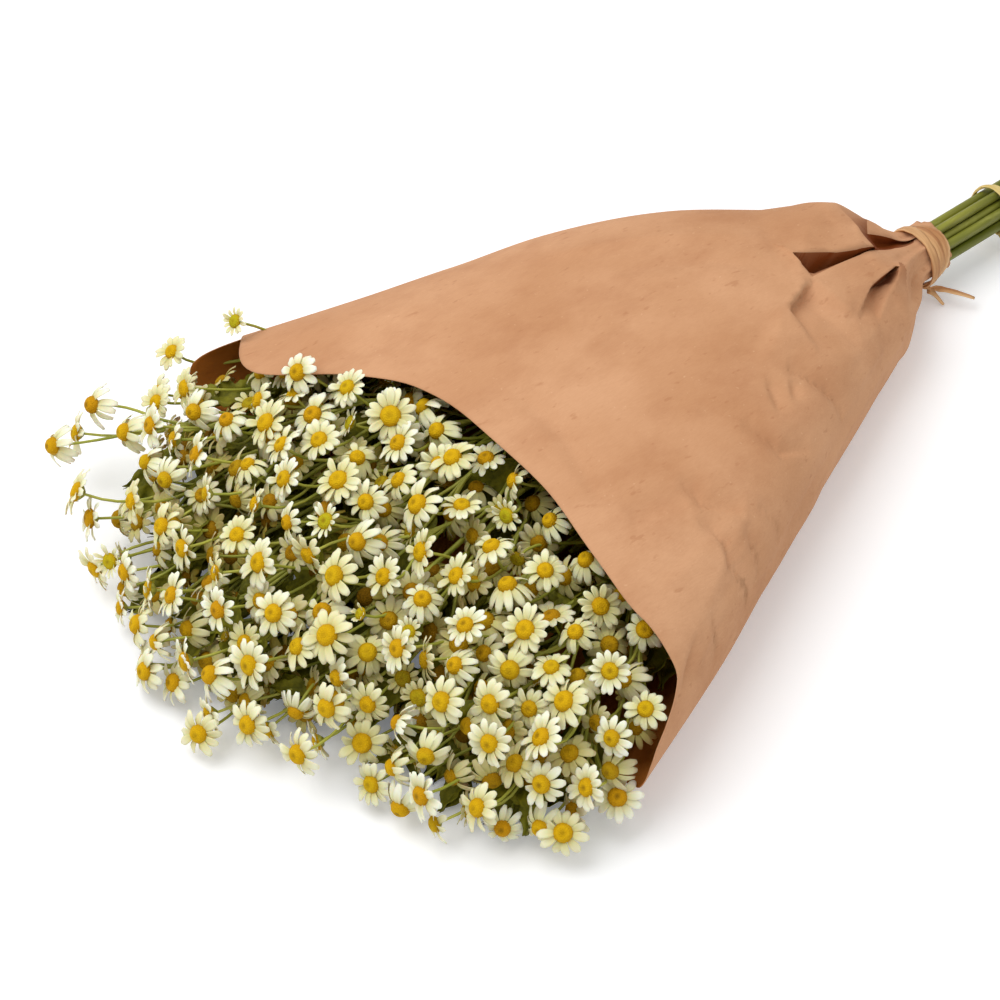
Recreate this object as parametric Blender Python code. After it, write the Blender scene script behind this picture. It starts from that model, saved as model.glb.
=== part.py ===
"""A florist's bunch of feverfew lying on a table, rolled in kraft paper and tied with raffia.

The bunch lies along X: the flowers spill out towards -X, the cut stems end towards +X.
The origin is under the middle of the bunch, on the table, with +Z up. Units are metres.
"""

import math
import random

import bmesh
import bpy
from mathutils import Matrix, Vector

# Driving dimensions of the bunch, along X.
MOUTH_X = -0.150  # where the paper cone opens, on average
NECK_X = 0.175  # middle of the raffia round the paper's neck
STEM_TIE_X = 0.220  # middle of the raffia round the bare stems
CUT_END_X = 0.300  # the longest of the cut stem ends

# The paper cone's cross sections: x, half width on the -Y side and on the +Y side, height.
SECTIONS = (
    (-0.190, 0.182, 0.172, 0.091),
    (-0.150, 0.167, 0.164, 0.091),
    (-0.100, 0.144, 0.150, 0.091),
    (-0.050, 0.121, 0.136, 0.088),
    (0.000, 0.099, 0.119, 0.083),
    (0.040, 0.081, 0.100, 0.077),
    (0.080, 0.064, 0.077, 0.071),
    (0.112, 0.050, 0.057, 0.062),
)
# How far the rim stands forward of MOUTH_X, going round the sheet from its outer edge,
# on the far side, over the top and back to the inner edge: angle in degrees, distance.
RIM = (
    (10, 0.009), (50, 0.014), (64, 0.010), (74, -0.006), (90, -0.025), (107, -0.019),
    (125, -0.011), (167, -0.008), (180, 0.001), (206, 0.011), (270, 0.016), (330, 0.022),
    (360, 0.034), (404, 0.024),
)
PAPER_THICK = 0.0008
CUFF = 0.008  # paper that stands out past the raffia
LAYER_GAP = 0.0018  # between the two layers where the sheet overlaps
PLEATS = 9
PLEAT_DEPTH = 0.0040
UNDERSIDE_FLAT = 0.006  # the table flattens this much off the cone's underside

# The stems.
STEM_RADIUS = 0.0025
STEM_PITCH = 0.0053  # centre to centre in the bundle
BUNDLE_HEIGHT = 0.0245  # height of the bundle's middle above the table
BRANCH_RADIUS = 0.0011
TIP_RADIUS = 0.0009
CLEARANCE = 0.0003  # between pieces that touch
SEED = 30

# The flower heads, and the mound that they make in front of the paper.
HEAD_RADIUS = 0.0118
DISC_RADIUS = 0.0050
RAYS = 10
CALYX_DEPTH = 0.0034
LARGEST_HEAD = 1.04  # heads vary in size from 0.92 to this
MOUND_HALF_WIDTH = 0.162
MOUND_ASIDE = 0.010  # the mound's middle lies this much towards +Y
MOUND_TOP = 0.084
MOUND_FOOT = 0.0135
MOUND_SIDE_DEPTH = 0.057
MOUND_MIDDLE_DEPTH = 0.082

# The raffia.
RAFFIA_WIDTH = 0.0032
RAFFIA_THICK = 0.0008


def clear_scene():
    for thing in list(bpy.data.objects):
        bpy.data.objects.remove(thing)


def material(name, colour, roughness):
    """A plain, non-metallic finish."""
    made = bpy.data.materials.new(name)
    made.use_nodes = True
    shader = made.node_tree.nodes["Principled BSDF"]
    shader.inputs["Base Color"].default_value = (*colour, 1)
    shader.inputs["Roughness"].default_value = roughness
    shader.inputs["Metallic"].default_value = 0
    return made


def add_object(name, bm, finishes, parent):
    """Turns a bmesh into a named object that hangs on the bunch's empty."""
    mesh = bpy.data.meshes.new(name)
    bmesh.ops.recalc_face_normals(bm, faces=bm.faces)
    bm.to_mesh(mesh)
    bm.free()
    for finish in finishes:
        mesh.materials.append(finish)
    mesh.shade_smooth()
    mesh.set_sharp_from_angle(angle=math.radians(50))
    made = bpy.data.objects.new(name, mesh)
    bpy.context.scene.collection.objects.link(made)
    made.parent = parent
    return made


def smoothstep(value):
    value = min(1.0, max(0.0, value))
    return value * value * (3 - 2 * value)


def mix(low, high, share):
    return low + (high - low) * share


# --- The paper: one sheet rolled into a flattened cone and gathered at the neck ---


def smooth_table(table, value):
    """The row of a table at a value of its first column, eased from row to row."""
    value = min(max(value, table[0][0]), table[-1][0])
    for index, (low, high) in enumerate(zip(table, table[1:])):
        if value <= high[0]:
            break
    before = table[max(index - 1, 0)]
    after = table[min(index + 2, len(table) - 1)]
    width = high[0] - low[0]
    share = (value - low[0]) / width
    row = []
    for column in range(1, len(low)):
        enter = (high[column] - before[column]) / (high[0] - before[0]) * width
        leave = (after[column] - low[column]) / (after[0] - low[0]) * width
        start, end = low[column], high[column]
        row.append(
            (2 * share**3 - 3 * share**2 + 1) * start
            + (share**3 - 2 * share**2 + share) * enter
            + (3 * share**2 - 2 * share**3) * end
            + (share**3 - share**2) * leave
        )
    return row


def cone_size(x):
    """Near and far half widths, height, lowest point and gathering of the cone along X."""
    neck_radius = STEM_PITCH * math.sqrt(3) + STEM_RADIUS + CLEARANCE + PAPER_THICK
    near, far, height = smooth_table(SECTIONS, x)
    gather = smoothstep((x - SECTIONS[-1][0]) / (NECK_X - 0.006 - SECTIONS[-1][0]))
    near = mix(near, neck_radius, gather**0.8)
    far = mix(far, neck_radius, gather**0.8)
    lowest = mix(0.0, BUNDLE_HEIGHT - neck_radius, gather)
    return near, far, mix(height, 2 * neck_radius, gather), lowest, gather


def paper_point(degrees, along):
    """A point of the sheet: degrees go round it from its outer edge, along from rim to cuff."""
    rim_x = MOUTH_X - smooth_table(RIM, degrees)[0]
    x = mix(rim_x, NECK_X + CUFF, along)
    near, far, height, lowest, gather = cone_size(x)
    squareness = mix(0.72, 1.0, gather)  # under 1 the section is boxier than an ellipse
    turn = math.radians(degrees)
    cosine, sine = math.cos(turn), math.sin(turn)
    y = (far if cosine > 0 else near) * math.copysign(abs(cosine) ** squareness, cosine)
    z = height / 2 * (1 + math.copysign(abs(sine) ** squareness, sine))
    flatten = UNDERSIDE_FLAT * (1 - gather)
    on_table = z < flatten
    z = max(0.0, z - flatten) * height / (height - flatten)
    pleat = PLEAT_DEPTH * math.sin(math.pi * gather) ** 2 * math.cos(PLEATS * turn)
    layers_under = (RIM[-1][0] - degrees) / 360
    offset = Vector((0, cosine, sine)) * (pleat + LAYER_GAP * layers_under)
    if on_table:
        offset.z = 0
    place = Vector((x, y, lowest + z)) + offset
    return Vector((place.x, place.y, max(place.z, 0.0)))


def paper_wrap(finish, parent):
    around, lengthwise = 48, 16
    bm = bmesh.new()
    rows = []
    for row in range(lengthwise + 1):
        share = row / lengthwise
        along = share - 0.10 * math.sin(math.tau * share) / 2  # closer rows near rim and neck
        points = []
        for column in range(around + 1):
            degrees = mix(RIM[0][0], RIM[-1][0], column / around)
            points.append(bm.verts.new(paper_point(degrees, along)))
        rows.append(points)
    for near, far in zip(rows, rows[1:]):
        for column in range(around):
            bm.faces.new((near[column], far[column], far[column + 1], near[column + 1]))
    sheet = add_object("paper_wrap", bm, [finish], parent)
    thicken = sheet.modifiers.new("thickness", "SOLIDIFY")
    thicken.thickness = PAPER_THICK
    thicken.offset = -1
    return sheet


# --- Raffia: a flat strand wound round the neck, with its two ends hanging loose ---


def ribbon(bm, path, outward, width, thick):
    """A closed flat strand along a path, lying flat against whatever is on its inner side."""
    rings = []
    for index, point in enumerate(path):
        ahead = path[min(index + 1, len(path) - 1)] - path[max(index - 1, 0)]
        normal = outward[index]
        side = ahead.cross(normal).normalized() * width / 2
        lift = normal.normalized() * thick / 2
        corners = (side + lift, lift - side, -side - lift, side - lift)
        rings.append([bm.verts.new(point + corner) for corner in corners])
    for near, far in zip(rings, rings[1:]):
        for index in range(4):
            after = (index + 1) % 4
            bm.faces.new((near[index], near[after], far[after], far[index]))
    bm.faces.new(rings[0])
    bm.faces.new(reversed(rings[-1]))


def raffia_tie(name, x, radius, turns, tails, finish, parent):
    """Raffia wound round the bundle at x. Each tail is (direction, length) of a loose end."""
    steps = 18
    pitch = RAFFIA_WIDTH + CLEARANCE
    start_angle = math.radians(-118)
    path, outward = [], []
    for step in range(int(turns * steps) + 1):
        angle = start_angle + math.tau * step / steps
        normal = Vector((0, math.cos(angle), math.sin(angle)))
        place = x + pitch * (step / steps - turns / 2)
        path.append(Vector((place, 0, BUNDLE_HEIGHT)) + normal * radius)
        outward.append(normal)
    for at_start, (direction, length) in zip((True, False), tails):
        root, normal = (path[0], outward[0]) if at_start else (path[-1], outward[-1])
        pieces = 5
        for piece in range(1, pieces + 1):
            share = piece / pieces
            point = root + Vector(direction).normalized() * length * share
            point.z = max(point.z - 0.010 * share * share, RAFFIA_WIDTH / 2)
            facing = normal.lerp(Vector((0.3, -0.6, 0.75)), share)
            path.insert(0, point) if at_start else path.append(point)
            outward.insert(0, facing) if at_start else outward.append(facing)
    bm = bmesh.new()
    ribbon(bm, path, outward, RAFFIA_WIDTH, RAFFIA_THICK)
    return add_object(name, bm, [finish], parent)


# --- Stems: each one runs straight through the bundle, fans out in the cone and forks ---


def bundle_places():
    """The thirteen stems' places in the bundle, (y, z) from its middle, in close packing."""
    places = [(0.0, 0.0)]
    for ring, offset in ((STEM_PITCH, 0.0), (STEM_PITCH * math.sqrt(3), math.pi / 6)):
        for corner in range(6):
            angle = offset + corner * math.pi / 3
            places.append((ring * math.cos(angle), ring * math.sin(angle)))
    return places


def mound_point(across, down):
    """A place on the flower mound and its outward direction.

    across goes from -1 to 1 over its width, down from 0 at the top to 1 at the table.
    """
    depth = MOUND_SIDE_DEPTH + MOUND_MIDDLE_DEPTH * math.sqrt(max(0.0, 1 - across * across))
    depth += 0.008 * across
    top = MOUND_TOP * (1 - 0.32 * across * across)
    bend = down * math.pi / 2
    x = MOUTH_X - 0.004 - depth * math.sin(bend)
    y = MOUND_ASIDE + across * MOUND_HALF_WIDTH
    z = MOUND_FOOT + (top - MOUND_FOOT) * math.cos(bend)
    outward = Vector((-math.sin(bend) - 0.15, 0.60 * across, math.cos(bend) + 0.50))
    return Vector((x, y, z)), outward.normalized()


def head_places(bundle_place, taken, rng):
    """Where one stem's three flower heads sit on the mound, and the way that they face.

    Each is tried at random places round the stem's own part of the mound, wider and wider,
    until one is clear of every head in taken.
    """
    reach = STEM_PITCH * math.sqrt(3)
    across = 0.97 * bundle_place[0] / reach
    down = 0.51 - 0.42 * bundle_place[1] / reach
    apart = 2.14 * HEAD_RADIUS
    heads = []
    tries = 0
    while len(heads) < 3:
        tries += 1
        spread = 0.17 + 0.001 * tries
        try_across = across + rng.uniform(-spread, spread)
        try_down = down + rng.uniform(-spread, spread)
        if abs(try_across) > 1 or not 0 <= try_down <= 1:
            continue
        place, facing = mound_point(try_across, try_down)
        facing = (facing + Vector([rng.uniform(-0.2, 0.2) for _ in range(3)])).normalized()
        lowest = LARGEST_HEAD * HEAD_RADIUS * math.sqrt(max(0.0, 1 - facing.z**2)) + 0.0006
        place.z = max(place.z, lowest)
        if all((place - other).length > apart for other in taken):
            taken.append(place)
            heads.append((place, facing))
    return heads


def bezier(start, start_pull, end_pull, end, share):
    rest = 1 - share
    return (
        start * rest**3
        + start_pull * (3 * rest * rest * share)
        + end_pull * (3 * rest * share * share)
        + end * share**3
    )


def place_ring(face, centre, direction, radius):
    """Moves a face's corners onto a circle square to direction, without twisting it."""
    corners = [loop.vert for loop in face.loops]
    first = corners[0].co - face.calc_center_median()
    first -= direction * first.dot(direction)
    first.normalize()
    for index, corner in enumerate(corners):
        turn = Matrix.Rotation(math.tau * index / len(corners), 3, direction)
        corner.co = centre + turn @ first * radius


def grow(bm, face, points, radii, arrive=None):
    """Extrudes a face along a line of points, as a shoot grows, and returns the end face.

    The end face is square to arrive when that is given, otherwise to the last step.
    """
    behind = face.calc_center_median()
    for index, (point, radius) in enumerate(zip(points, radii)):
        face = bmesh.ops.extrude_discrete_faces(bm, faces=[face])["faces"][0]
        at_end = index + 1 == len(points)
        ahead = point if at_end else points[index + 1]
        direction = arrive if at_end and arrive else (ahead - behind).normalized()
        place_ring(face, point, direction, radius)
        behind = point
    return face


def prism(bm, start, end, radius):
    """A closed six-sided rod from start to end along X. Returns its face at the end."""
    rings = []
    for centre in (start, end):
        ring = []
        for corner in range(6):
            angle = math.tau * corner / 6
            offset = Vector((0, math.cos(angle), math.sin(angle))) * radius
            ring.append(bm.verts.new(centre + offset))
        rings.append(ring)
    for corner in range(6):
        after = (corner + 1) % 6
        bm.faces.new((rings[0][after], rings[0][corner], rings[1][corner], rings[1][after]))
    bm.faces.new(rings[0])
    end_face = bm.faces.new(reversed(rings[1]))
    bmesh.ops.recalc_face_normals(bm, faces=bm.faces)
    return end_face


def side_face(ring_faces, target):
    """The free side of a stem that faces a target best."""
    return max(
        ring_faces,
        key=lambda face: face.normal.dot((target - face.calc_center_median()).normalized()),
    )


def shoot_points(start, direction, head, facing, count):
    """Points from a fork to just under a flower head, arriving square to the head."""
    foot = head - facing * (LARGEST_HEAD * CALYX_DEPTH + CLEARANCE)
    length = (foot - start).length
    return [
        bezier(start, start + direction * length * 0.35, foot - facing * length * 0.35, foot, step / count)
        for step in range(1, count + 1)
    ]


def flower_stem(name, bundle_place, heads, rng, finish, parent):
    """One stem, from its cut end to the tips of its three shoots, as one grown piece."""
    y, z = bundle_place
    cut = Vector((CUT_END_X + rng.uniform(-0.006, 0.0), y, BUNDLE_HEIGHT + z))
    neck = Vector((NECK_X - 0.004, y, BUNDLE_HEIGHT + z))
    middle = sum((place for place, _ in heads), Vector()) / len(heads)
    fork = middle.lerp(neck, 0.26)
    travel = (middle - fork).normalized()
    bm = bmesh.new()
    face = prism(bm, cut, cut.lerp(neck, 0.55), STEM_RADIUS)
    pull = (fork - neck).length
    fan = [
        bezier(neck, neck + Vector((-0.35 * pull, 0, 0)), fork - travel * pull * 0.3, fork, step / 7)
        for step in range(1, 8)
    ]
    radii = [mix(STEM_RADIUS, 0.0015, step / 7) for step in range(1, 8)]
    face = grow(bm, face, [neck] + fan, [STEM_RADIUS] + radii)
    known = set(bm.faces)
    node = fork + travel * 0.0035
    face = grow(bm, face, [node], [0.0015])
    bm.normal_update()
    free_sides = [side for side in bm.faces if side not in known and side is not face]
    order = sorted(heads, key=lambda head: -(head[0] - node).normalized().dot(travel))
    lead, others = order[0], order[1:]
    shoot = shoot_points(node, travel, lead[0], lead[1], 5)
    thinning = [mix(BRANCH_RADIUS, TIP_RADIUS, step / 4) for step in range(5)]
    grow(bm, face, shoot, thinning, lead[1])
    for place, facing in others:
        side = side_face(free_sides, place)
        free_sides.remove(side)
        leaving = (side.normal + travel * 1.2).normalized()
        root = side.calc_center_median()
        shoot = shoot_points(root, leaving, place, facing, 5)
        grow(bm, side, shoot, thinning, facing)
    return add_object(name, bm, [finish], parent)


# --- Flower heads: a green cup, a ring of white rays and a domed yellow disc ---


def flower_head(name, place, facing, size, finishes, parent):
    """One head, modelled facing +Z with the middle of its rays at the origin."""
    green, white, yellow = 0, 1, 2
    bm = bmesh.new()
    rings = (
        (0.0011, -CALYX_DEPTH, green),
        (DISC_RADIUS, -0.0010, green),
        (DISC_RADIUS, 0.0003, white),
        (DISC_RADIUS * 0.62, 0.0032, yellow),
    )
    loops = []
    for radius, height, _ in rings:
        loops.append(
            [
                bm.verts.new(Matrix.Rotation(math.tau * ray / RAYS, 3, "Z") @ Vector((radius, 0, height)))
                for ray in range(RAYS)
            ]
        )
    ray_roots = []
    for (lower, upper), (_, _, colour) in zip(zip(loops, loops[1:]), rings[1:]):
        for ray in range(RAYS):
            after = (ray + 1) % RAYS
            side = bm.faces.new((lower[ray], lower[after], upper[after], upper[ray]))
            side.material_index = colour
            if colour == white:
                ray_roots.append(side)
    bm.faces.new(reversed(loops[0])).material_index = green
    bm.faces.new(loops[-1]).material_index = yellow
    bm.normal_update()
    for side in ray_roots:
        outward = side.calc_center_median()
        outward.z = 0
        outward.normalize()
        tip = bmesh.ops.extrude_discrete_faces(bm, faces=[side])["faces"][0]
        length = HEAD_RADIUS - DISC_RADIUS
        for corner in tip.verts:
            corner.co += outward * length
            corner.co.z = mix(-0.0003, corner.co.z, 0.6)
    place_matrix = Matrix.Translation(place) @ facing.to_track_quat("Z", "Y").to_matrix().to_4x4()
    head = add_object(name, bm, finishes, parent)
    head.matrix_local = place_matrix @ Matrix.Scale(size, 4)
    return head


# --- Leaves: pinnate, lobed, and held on a short stalk against a stem ---


def leaf(name, root, along, up, length, finish, parent):
    """A lobed leaf that starts at root and grows along a direction, its face towards up."""
    side = along.cross(up).normalized()
    lift = side.cross(along).normalized()
    half_outline = ((0.0, 0.0011), (0.22, 0.0012), (0.34, 0.17), (0.44, 0.08), (0.56, 0.22),
                    (0.66, 0.08), (0.78, 0.16), (0.86, 0.06), (1.0, 0.012))
    bm = bmesh.new()
    rows = []
    for share, spread in half_outline:
        spread = spread if share < 0.3 else spread * length
        droop = lift * (-0.16 * length * share * share)
        centre = root + along * length * share + droop
        offsets = (side * spread, Vector(), -side * spread)
        thick = lift * 0.0005
        row = [centre + offset + thick for offset in offsets]
        row += [centre + offset - thick for offset in reversed(offsets)]
        rows.append([bm.verts.new(point) for point in row])
    for near, far in zip(rows, rows[1:]):
        for index in range(6):
            after = (index + 1) % 6
            bm.faces.new((near[index], near[after], far[after], far[index]))
    bm.faces.new(rows[0])
    bm.faces.new(reversed(rows[-1]))
    return add_object(name, bm, [finish], parent)


def stem_axis(bundle_place, heads, share):
    """A point on a stem between its neck and its fork, as flower_stem draws it."""
    neck = Vector((NECK_X - 0.004, bundle_place[0], BUNDLE_HEIGHT + bundle_place[1]))
    middle = sum((place for place, _ in heads), Vector()) / len(heads)
    fork = middle.lerp(neck, 0.26)
    travel = (middle - fork).normalized()
    pull = (fork - neck).length
    return bezier(neck, neck + Vector((-0.35 * pull, 0, 0)), fork - travel * pull * 0.3, fork, share)


def build():
    clear_scene()
    bunch = bpy.data.objects.new("bunch", None)
    bpy.context.scene.collection.objects.link(bunch)
    kraft = material("kraft_paper", (0.60, 0.34, 0.19), 0.75)
    pale_raffia = material("raffia", (0.72, 0.49, 0.20), 0.60)
    stem_green = material("stem_green", (0.17, 0.25, 0.04), 0.50)
    leaf_green = material("leaf_green", (0.12, 0.22, 0.03), 0.55)
    ray_white = material("ray_white", (0.86, 0.86, 0.80), 0.60)
    disc_yellow = material("disc_yellow", (0.80, 0.45, 0.01), 0.70)

    paper_wrap(kraft, bunch)
    outer_stems = STEM_PITCH * math.sqrt(3) + STEM_RADIUS
    neck_radius = outer_stems + CLEARANCE * 2 + PAPER_THICK + LAYER_GAP * 1.1 + RAFFIA_THICK / 2
    raffia_tie(
        "neck_tie", NECK_X, neck_radius, 3,
        (((0.5, -0.8, 0.0), 0.030), ((0.3, -0.9, -0.2), 0.012)), pale_raffia, bunch,
    )
    raffia_tie(
        "stem_tie", STEM_TIE_X, outer_stems + CLEARANCE + RAFFIA_THICK / 2, 2,
        (((0.2, -0.9, -0.2), 0.009), ((0.5, -0.8, 0.1), 0.011)), pale_raffia, bunch,
    )

    rng = random.Random(SEED)
    taken = []
    stems = [(place, head_places(place, taken, rng)) for place in bundle_places()]
    head_number = 0
    for number, (bundle_place, heads) in enumerate(stems, 1):
        flower_stem(f"stem_{number:02d}", bundle_place, heads, rng, stem_green, bunch)
        for place, facing in heads:
            head_number += 1
            flower_head(
                f"flower_head_{head_number:02d}", place, facing, rng.uniform(0.92, LARGEST_HEAD),
                (stem_green, ray_white, disc_yellow), bunch,
            )

    leaf_stems = ((1, 0.60, 1), (4, 0.66, 1), (8, 0.58, -1), (10, 0.62, 1), (11, 0.66, 1))
    for number, (stem, share, way) in enumerate(leaf_stems, 1):
        bundle_place, heads = stems[stem]
        point = stem_axis(bundle_place, heads, share)
        ahead = (stem_axis(bundle_place, heads, share + 0.05) - point).normalized()
        sideways = ahead.cross(Vector((0, 0, 1))).normalized() * way
        along = (ahead + sideways * 0.45 + Vector((0, 0, 0.1))).normalized()
        root = point + sideways * (STEM_RADIUS + 0.0007 + CLEARANCE) + ahead * 0.002
        leaf(f"leaf_{number:02d}", root, along, Vector((0, 0, 1)), 0.052, leaf_green, bunch)


build()
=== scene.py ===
import math
import random

import bpy
import numpy as np
from mathutils import Matrix, Vector
from mathutils.bvhtree import BVHTree
from mathutils.geometry import delaunay_2d_cdt


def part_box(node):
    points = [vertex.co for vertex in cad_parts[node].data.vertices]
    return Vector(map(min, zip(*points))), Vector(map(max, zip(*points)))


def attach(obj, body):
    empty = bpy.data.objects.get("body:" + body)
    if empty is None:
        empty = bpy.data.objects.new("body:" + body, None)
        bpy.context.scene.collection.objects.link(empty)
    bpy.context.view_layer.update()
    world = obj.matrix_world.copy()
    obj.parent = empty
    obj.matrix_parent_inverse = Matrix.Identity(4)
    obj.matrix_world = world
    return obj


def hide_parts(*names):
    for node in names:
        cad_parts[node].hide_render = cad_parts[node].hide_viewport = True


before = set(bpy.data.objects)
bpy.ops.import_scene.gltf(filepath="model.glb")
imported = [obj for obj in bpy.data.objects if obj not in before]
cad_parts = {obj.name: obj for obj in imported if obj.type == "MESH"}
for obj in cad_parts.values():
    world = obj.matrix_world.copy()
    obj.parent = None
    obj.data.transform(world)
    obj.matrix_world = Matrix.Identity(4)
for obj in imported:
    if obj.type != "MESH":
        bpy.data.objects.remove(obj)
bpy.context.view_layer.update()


# --- The kraft paper ---
# One sheet of brown kraft paper is rolled round the stems into a wide, flattened cone. Its
# outer edge laps over the inner one on the far side, and it is squeezed to the stems at the neck.

SECTIONS = (
    # x, half width on the -Y side, half width on the +Y side, height
    (-0.190, 0.180, 0.164, 0.089),
    (-0.100, 0.144, 0.138, 0.090),
    (-0.050, 0.120, 0.127, 0.088),
    (0.000, 0.096, 0.115, 0.084),
    (0.060, 0.068, 0.088, 0.075),
    (0.112, 0.042, 0.056, 0.062),
)
RIM = (
    # degrees round the sheet from its outer edge, how far the rim stands forward there
    (10, 0.004), (30, 0.016), (50, 0.030), (64, 0.000), (75, -0.018), (95, -0.024),
    (125, -0.015), (160, -0.014), (172, -0.005), (183, 0.016), (210, 0.018), (270, 0.016),
    (330, 0.024), (348, 0.036), (366, 0.028), (382, 0.002), (404, -0.002),
)
MOUTH_X = -0.150  # where the rim stands when it is neither forward nor back
NECK_X = 0.166  # the middle of the tie
TIE_HALF = 0.006  # half the length that the tie covers
CUFF = 0.0088  # how far the paper reaches past it
BUNDLE_HEIGHT = 0.0245
NECK_RADIUS = 0.0128
TABLE_FLAT = 0.006  # how much of the cone's round underside the table presses flat
PLY_GAP = 0.0016  # between the two plies where the sheet laps over itself
PAPER_THICKNESS = 0.00035
SHEET_MM = 330  # the sheet's length from rim to cuff, for its flat net
DEGREE_MM = 0.9  # one degree round the sheet in that net

# The corners of the folds that the squeeze at the neck leaves in the sheet. Each has its place
# along the cone (mm), its degrees round it, and how far it is pushed in x, y and z (mm).
FOLD_CORNERS = {
    # the long lip that overhangs the main fold, and the fold's floor under it
    "lip1": (76, 81, 0, 0, 0), "lip2": (77, 84, -1, -4, 2), "lip3": (80, 88, -4, -3, 4),
    "lip4": (88, 89, -6, -4, 5), "lip5": (101, 90, -5, -6, 4), "lip6": (116, 91, -3, -7, 3),
    "lip7": (124, 92, -3, -6, 3),
    "pit3": (83, 90, -2, 12, -16), "pit4": (90, 92, -3, 12, -20),
    "pit5": (102, 92, -1, 9, -18), "pit6": (116, 93, 1, 5, -14), "pit7": (123, 93, 1, 3, -9),
    "end1": (76, 93, -2, 2, 2), "pit1": (79, 94, 0, 13, -10),
    "sill1": (75, 98, -2, 1, 1), "sill2": (98, 97, -3, -1, 2), "sill3": (126, 95, -2, -3, 0),
    # the steep facet where the upper panel ends, and the dark slot that runs on to the tie
    "brow1": (124, 86, -2, -4, 4), "brow2": (122, 76, 4, -4, 2), "brow3": (120, 62, 10, 0, 2),
    "face1": (130, 86, 2, 2, -3), "face2": (134, 74, 8, 4, -3), "face3": (143, 84, 5, 1, -5),
    "face4": (133, 58, 9, 3, 0),
    "slot1": (133, 90, 6, 6, -11), "slot2": (147, 90, 8, 6, -8), "slot3": (160, 90, 3, 2, -3),
    "slot4": (144, 94, -1, -2, 1), "slot5": (160, 94, -2, -1, 0), "slot6": (160, 85, 2, -1, -1),
    # the pleat on the near side, with the pocket behind it
    "ply1": (163, 98, 0, 0, 0), "ply2": (131, 112, -3, -7, 4), "ply3": (118, 131, -3, -1, 2),
    "hem1": (124, 118, -3, -4, 3), "hem2": (113, 122, -4, -1, 4), "hem3": (104, 124, -5, 1, 3),
    "bag1": (124, 121, 1, 6, -9), "bag2": (112, 125, 1, 10, -12), "bag3": (103, 127, -1, 8, -5),
    "foot1": (82, 133, -5, 2, 0), "foot2": (97, 142, -7, -3, 0), "foot3": (112, 166, -3, -5, 0),
    "side1": (123, 144, -1, -2, 0),
    # the short fold below the main one
    "nick1": (57, 103, -1, 2, 1), "nick2": (45, 105, 0, 2, 1),
    "nick3": (60, 105, 1, 9, -7), "nick4": (49, 107, 0, 8, -5),
}
FOLD_LINES = (
    "lip1 lip2 lip3 lip4 lip5 lip6 lip7", "lip3 pit3 pit4 pit5 pit6 pit7 lip7",
    "lip3 end1 sill1", "pit3 pit1 sill1", "sill1 sill2 sill3", "lip7 brow1 brow2 brow3",
    "lip7 sill3 slot4 slot5", "brow1 face1 face3 slot6", "face1 face2 face4", "brow3 face4",
    "slot5 slot3 slot6", "lip7 slot1 slot2 slot3",
    "ply1 ply2 ply3", "hem1 hem2 hem3", "ply2 hem1", "bag1 bag2 bag3", "foot1 foot2 foot3",
    "hem3 foot1", "ply3 side1 foot3", "nick1 nick2", "nick3 nick4", "sill1 nick1",
)
FOLD_PAINTED_SHADE = (
    # panels that are turned in under the others, and how much painted shade each has at its corners
    {"lip3": 0.75, "lip4": 0.85, "lip5": 0.9, "lip6": 1.0, "lip7": 1.0, "end1": 0.55,
     "pit1": 0.8, "pit3": 0.85, "pit4": 0.9, "pit5": 0.95, "pit6": 1.0, "pit7": 1.0,
     "sill1": 0.3, "sill2": 0.55, "sill3": 1.0},
    {"lip7": 1.0, "brow1": 0.75, "face1": 1.0, "face3": 1.0, "slot1": 1.0, "slot2": 1.0,
     "slot3": 1.0, "slot4": 1.0, "slot5": 0.6, "slot6": 0.6, "sill3": 1.0},
    {"brow1": 0.7, "brow2": 0.35, "brow3": 0.0, "face1": 0.8, "face2": 0.5, "face4": 0.1},
    {"hem1": 1.0, "hem2": 1.0, "hem3": 0.5, "bag1": 1.0, "bag2": 0.9, "bag3": 0.35},
    {"bag1": 0.85, "bag2": 0.6, "bag3": 0.25, "foot1": 0.0, "foot2": 0.0, "foot3": 0.0,
     "ply2": 0.6, "ply3": 0.1, "side1": 0.1},
)
STILL_PLACES = (
    # round the folds, where the sheet keeps its shape
    (36, 66), (12, 84), (20, 98), (22, 112), (40, 128), (66, 150), (84, 184), (125, 205),
    (170, 200), (172, 150), (172, 120), (172, 100), (172, 84), (172, 60), (150, 35), (105, 34),
    (62, 50),
)
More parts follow.
